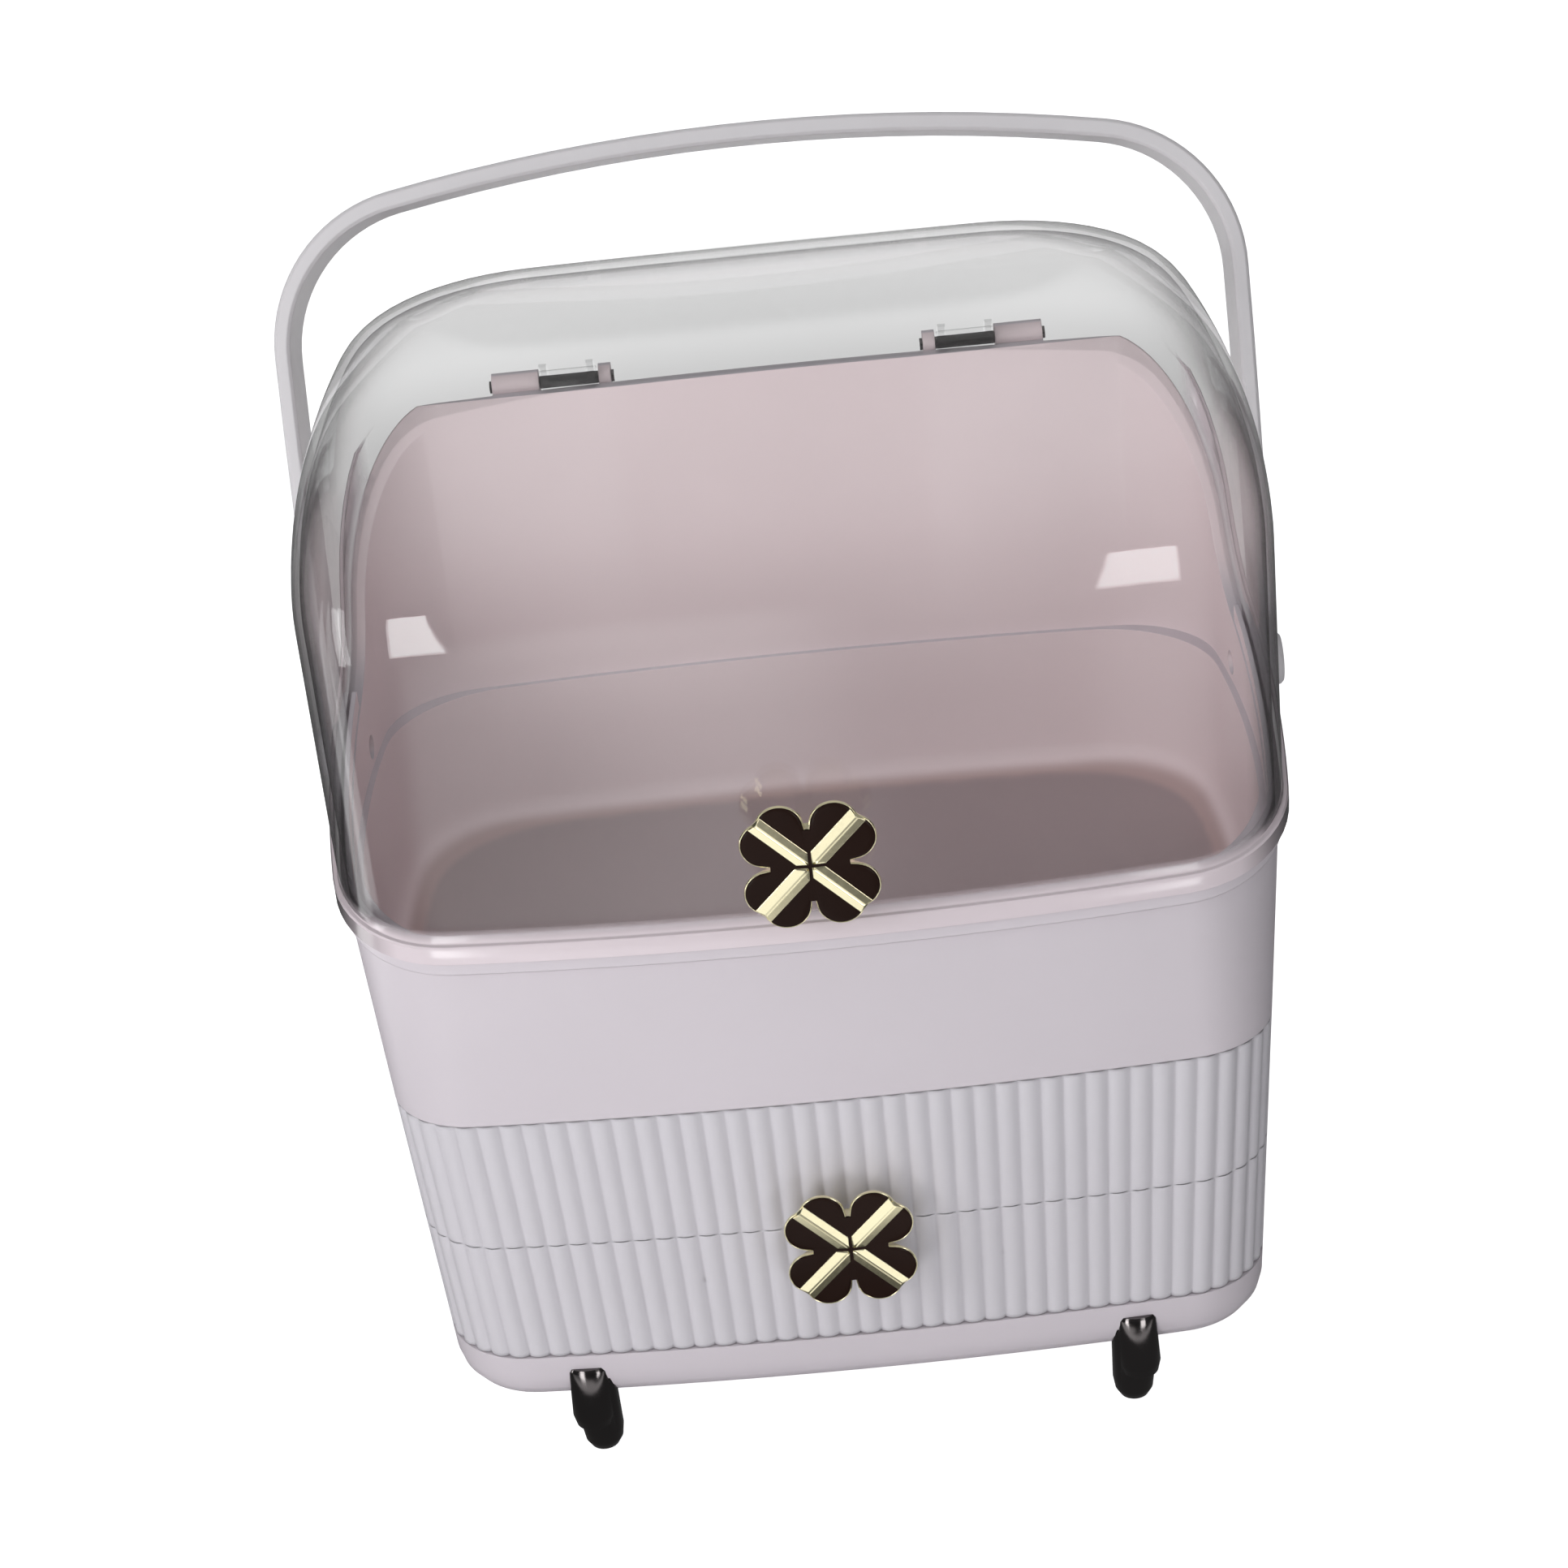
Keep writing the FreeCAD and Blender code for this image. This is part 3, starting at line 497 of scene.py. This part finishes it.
def hood_point(i, p, t):
    """Hood surface at inset t in column i; p is a height, and above z1 it is z1 + arc * crown angle."""
    a = min(max(0.0, p - HOOD["z1"]) / HOOD["arc"], math.pi / 2)
    k = 1 - math.cos(a)
    fr, bk = HOOD["front"] * k, HOOD["rear"] * k
    W, D = HOOD["w"] - HOOD["ins"] * k, HOOD["d"] - (fr + bk) / 2
    x, y, nx, ny = plan_point(i, W, D, min(HOOD["r"] + 2.0 * k, D - 2.0), t, (fr - bk) / 2)
    z = p if a == 0 else HOOD["z1"] + (HOOD["top"] - t - HOOD["z1"]) * math.sin(a)
    return x, y, z, nx, ny


def foot_position(i, t, off):
    """Path position at which column i of the surface at inset t meets the parting line."""
    p = RIM["z0"]
    for _ in range(60):
        z = rim_height(hood_point(i, p, t)[1], off)
        rise = (z - HOOD["z1"]) / (HOOD["top"] - t - HOOD["z1"])
        q = z if rise < 0 else HOOD["z1"] + HOOD["arc"] * math.asin(min(1.0, rise))
        if abs(q - p) < 1e-4:
            break
        p += (q - p) * 0.6
    return p


def fading(y, end):
    """1 in front, 0 from depth end backwards, with a short ramp between."""
    return min(1.0, max(0.0, (end - y) / RIM["fade"]))


def wall_path(i, t, p0):
    """Points of column i from path position p0 up to the top of the crown."""
    p_top = HOOD["z1"] + HOOD["arc"] * math.pi / 2
    return [hood_point(i, p0 + (p_top - p0) * k / ROWS, t)[:3] for k in range(ROWS + 1)]


def flange_path(i):
    """Points of column i round the flange, which fades into the wall at the back."""
    points = []
    for out, up in FLANGE:
        h = RIM["gap"] + up
        x, y, z, nx, ny = hood_point(i, foot_position(i, 0.0, h), 0.0)
        w = fading(y, RIM["ends"])
        x, y = x + nx * out * w, y + ny * out * w
        points.append((x, y, rim_height(y, h) if w > 0 else z))
    return points


def clear_hood():
    """Closed shell: down the inside, round the flange and up the outside in each column."""
    bm = bmesh.new()
    mark = bm.verts.layers.float.new("flange")
    columns = []
    for i in range(COLUMNS):
        inside = wall_path(i, HOOD["t"], foot_position(i, HOOD["t"], RIM["gap"]))[::-1]
        outside = wall_path(i, 0.0, foot_position(i, 0.0, RIM["gap"] + RIM["flange"] + 0.3))
        points = inside + flange_path(i) + outside
        columns.append([bm.verts.new((x * MM, (y + Y0) * MM, z * MM)) for x, y, z in points])
        for v in columns[-1][ROWS + 1:ROWS + 2 + len(FLANGE)]:
            v[mark] = fading(v.co.y / MM - Y0, RIM["tint_ends"])
    for a, b in zip(columns, columns[1:] + columns[:1]):
        for k in range(len(a) - 1):
            bm.faces.new((a[k], a[k + 1], b[k + 1], b[k]))
    for end in (0, -1):
        rim = ring = [c[end] for c in columns]
        mid = sum((v.co for v in rim), Vector()) / COLUMNS
        for share in CROWN_RINGS:
            inner = [bm.verts.new(mid + (v.co - mid) * share) for v in rim]
            bridge(bm, ring, inner)
            ring = inner
        bm.faces.new(ring)
    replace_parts(add_piece("hood_glass", bm, "clear_plastic", "hood", 35), "hood_shell")


# ------------------------------------------------------------------ hinge ears
HINGE_Y, HINGE_Z = 97.5, 300.5          # hinge axis in mm, in the body's own depth
EAR_X0, EAR_X1 = 56.2, 74.8             # an ear's ends across
EAR_STEPS = 40
RIB_X, RIB_T = (56.5, 71.9), 2.6        # where the two ribs of an ear start, and their thickness
# Ring sections of the bored barrel: (radius, distance across).
BARREL = ((2.06, EAR_X0 + 0.3), (2.3, EAR_X0), (3.4, EAR_X0), (3.8, EAR_X0 + 0.4), (3.8, EAR_X1 - 0.4),
          (3.4, EAR_X1), (2.3, EAR_X1), (2.06, EAR_X1 - 0.3))
# Side outlines of the tongue and of a rib: (depth, height over the axis).
TONGUE = ((88.4, 1.0), (HINGE_Y - 2.4, 1.0), (HINGE_Y - 2.4, 2.6), (HINGE_Y - 3.2, 3.4), (88.2, 3.4))
EAR_RIB = ((88.2, 2.2), (HINGE_Y - 1.6, 2.4), (HINGE_Y - 0.6, 3.4), (90.0, 9.0), (86.9, 9.0))


def hinge_ear(sx, side):
    """Ear of the hood on its pin: a bored barrel, a tongue into the hood wall and two upright ribs."""
    bm = bmesh.new()

    def vert(x, y, z):
        return bm.verts.new((sx * x * MM, (y + Y0) * MM, z * MM))

    def prism(outline, xa, xb):
        rows = [[vert(x, y, HINGE_Z + z) for y, z in outline] for x in (xa, xb)]
        bridge(bm, *rows)
        for row in rows:
            bm.faces.new(row)

    rows = [[vert(x, HINGE_Y + r * math.cos(th), HINGE_Z + r * math.sin(th)) for th in turns(EAR_STEPS)]
            for r, x in BARREL]
    for a, b in zip(rows, rows[1:] + rows[:1]):
        bridge(bm, a, b)
    prism(TONGUE, EAR_X0 + 0.2, EAR_X1 - 0.2)
    for x in RIB_X:
        prism(EAR_RIB, x, x + RIB_T)
    add_piece("hood_ear_" + side, bm, "clear_plastic", "hood", 35)


clear_hood()
hinge_ear(-1, "left")
hinge_ear(1, "right")


# ------------------------------------------------------------------ stage
WHITE = (1, 1, 1, 1)
FLOOR_HALF = 6.0        # metres


def ray_masks(t):
    """Straight camera rays, camera rays that have passed clear plastic, and mirrored rays."""
    rays = t.node("ShaderNodeLightPath").outputs
    passed = t.span(rays["Transparent Depth"], 0.2, 0.8)
    return rays["Is Camera Ray"], t.both(rays["Is Camera Ray"], passed), rays["Is Glossy Ray"]


def mirrored_floor(t):
    """Brightness of the floor in mirrors, by place: a white sweep in front that falls off to the sides and
    at the object's feet, a patch behind, and a strip at the left."""
    x, y, _ = t.split(t.place())
    across, along = t.calc("ABSOLUTE", x), t.calc("ABSOLUTE", y)
    ahead = t.both(t.span(y, -0.17, -0.24), t.span(y, -2.2, -0.5))
    middle = t.span(across, 0.22, 0.42, (1.0, 0.25))
    right_far = t.both(t.span(x, -0.10, 0.12), t.span(y, -0.26, -0.36))
    lit = t.both(ahead, middle, t.span(right_far, 0.0, 1.0, (1.0, 0.15)))
    behind = t.both(t.span(y, 0.45, 0.75), t.span(across, 0.22, 0.10))
    level = t.span(t.calc("MAXIMUM", lit, behind), 0.0, 1.0, (0.10, 1.1))
    # mirrored as an upright streak in the hood's front left corner
    strip = t.both(t.span(along, 0.09, 0.05), t.span(x, -0.38, -0.42))
    return t.calc("MULTIPLY_ADD", strip, 3.0, level)


def studio_floor():
    bm = bmesh.new()
    bmesh.ops.create_grid(bm, x_segments=1, y_segments=1, size=FLOOR_HALF)
    me = bpy.data.meshes.new("floor")
    bm.to_mesh(me)
    bm.free()
    m, t = new_material("studio_floor")
    matt = t.node("ShaderNodeBsdfDiffuse", {0: (0.86, 0.86, 0.87, 1)}).outputs[0]
    glow = t.node("ShaderNodeEmission", {0: WHITE, 1: 0.9}).outputs[0]
    seen = t.node("ShaderNodeAddShader", {0: matt, 1: glow}).outputs[0]
    # seen through the hood the floor dims towards the object, as its own soft shade does
    away = t.node("ShaderNodeVectorMath", {0: t.place()}, operation="LENGTH").outputs["Value"]
    through = t.node("ShaderNodeEmission", {0: WHITE, 1: t.span(away, 0.80, 1.12, (0.50, 1.0))}).outputs[0]
    mirror = t.node("ShaderNodeEmission", {0: WHITE, 1: mirrored_floor(t)}).outputs[0]
    camera_ray, through_ray, glossy_ray = ray_masks(t)
    mix = t.choose(camera_ray, t.choose(glossy_ray, matt, mirror), seen)
    t.node("ShaderNodeOutputMaterial", {0: t.choose(through_ray, mix, through)})
    me.materials.append(m)
    add_object("floor", me)


def studio_world():
    """White for the camera, a soft even fill as light, and a room that darkens downwards in mirrors."""
    world = bpy.data.worlds.new("studio")
    bpy.context.scene.world = world
    world.use_nodes = True
    t = Tree(world.node_tree)
    fill = t.node("ShaderNodeBackground", {0: (0.97, 0.98, 1.0, 1), 1: 0.22}).outputs[0]
    seen = t.node("ShaderNodeBackground", {0: WHITE, 1: 1.0}).outputs[0]
    height = t.split(t.node("ShaderNodeTexCoord").outputs["Generated"])[2]
    shade = t.ramp(height, (0.0, 0.05), (0.25, 0.10), (0.6, 0.42), (1.0, 0.50))
    room = t.node("ShaderNodeBackground", {0: shade, 1: 1.0}).outputs[0]
    camera_ray, _, glossy_ray = ray_masks(t)
    t.node("ShaderNodeOutputWorld", {0: t.choose(camera_ray, t.choose(glossy_ray, fill, room), seen)})


# Lamps: azimuth from the front (-Y) towards +X and elevation in degrees, distance and size in metres,
# watts, the point aimed at, and whether mirrors show the lamp.
MIDDLE, HOOD_FRONT, HOOD_CORNER = (0.0, 0.0, 0.2), (0.0, 0.0, 0.29), (-0.127, -0.083, 0.28)
LAMPS = {
    "overhead": (5, 74, 1.6, (1.2, 1.0), 3.7, MIDDLE, False),
    "key_left": (-52, 24, 1.8, (0.8, 0.8), 8.0, MIDDLE, False),
    "front": (-12, 17, 1.8, (1.2, 0.9), 7.5, MIDDLE, False),
    "corner_left": (-24.9, -9, 1.0, (0.205, 0.27), 1.25, HOOD_FRONT, True),
    "corner_right": (22.0, -10, 1.0, (0.21, 0.24), 0.85, HOOD_FRONT, True),
    "streak_left": (-76, -11, 0.6, (0.085, 0.235), 0.40, HOOD_CORNER, True),
    "back_fill": (165, 28, 2.0, (1.4, 1.4), 4.0, MIDDLE, False),
}


def softbox(name, azimuth, elevation, distance, size, watts, aim, mirrored):
    a, e = math.radians(azimuth), math.radians(elevation)
    d = Vector((math.sin(a) * math.cos(e), -math.cos(a) * math.cos(e), math.sin(e)))
    lamp = bpy.data.lights.new(name, "AREA")
    lamp.shape = "RECTANGLE"
    lamp.size, lamp.size_y, lamp.energy = *size, watts
    o = add_object(name, lamp)
    o.location = Vector(aim) + d * distance
    o.rotation_euler = d.to_track_quat("Z", "Y").to_euler()
    o.visible_glossy = mirrored


studio_floor()
studio_world()
for name, lamp in LAMPS.items():
    softbox(name, *lamp)


# ------------------------------------------------------------------ camera
PITCH, YAW, ROLL = math.radians(26.8), math.radians(1.25), math.radians(-6.18)
FOCAL, FRAME, SENSOR = 4250.0, 1932.0, 36.0     # pixels, pixels, mm
DISTANCE = 1.1                                  # metres, from the target
TARGET = Vector((-0.0073, Y0 * MM, 0.193))


def set_camera():
    back = Vector((math.sin(YAW) * math.cos(PITCH), -math.cos(YAW) * math.cos(PITCH), math.sin(PITCH)))
    right = (-back).cross(Vector((0, 0, 1))).normalized()
    up = right.cross(-back)
    tilted = right * math.cos(ROLL) + up * math.sin(ROLL)
    upright = -right * math.sin(ROLL) + up * math.cos(ROLL)
    cam = bpy.data.cameras.new("camera")
    cam.sensor_width, cam.sensor_fit = SENSOR, "HORIZONTAL"
    cam.lens = FOCAL / FRAME * SENSOR
    cam.clip_start = 0.05
    o = add_object("camera", cam)
    m = Matrix((tilted, upright, back)).transposed().to_4x4()
    m.translation = TARGET + back * DISTANCE
    o.matrix_world = m
    bpy.context.scene.camera = o


set_camera()
bpy.context.scene.view_settings.view_transform = "Standard"
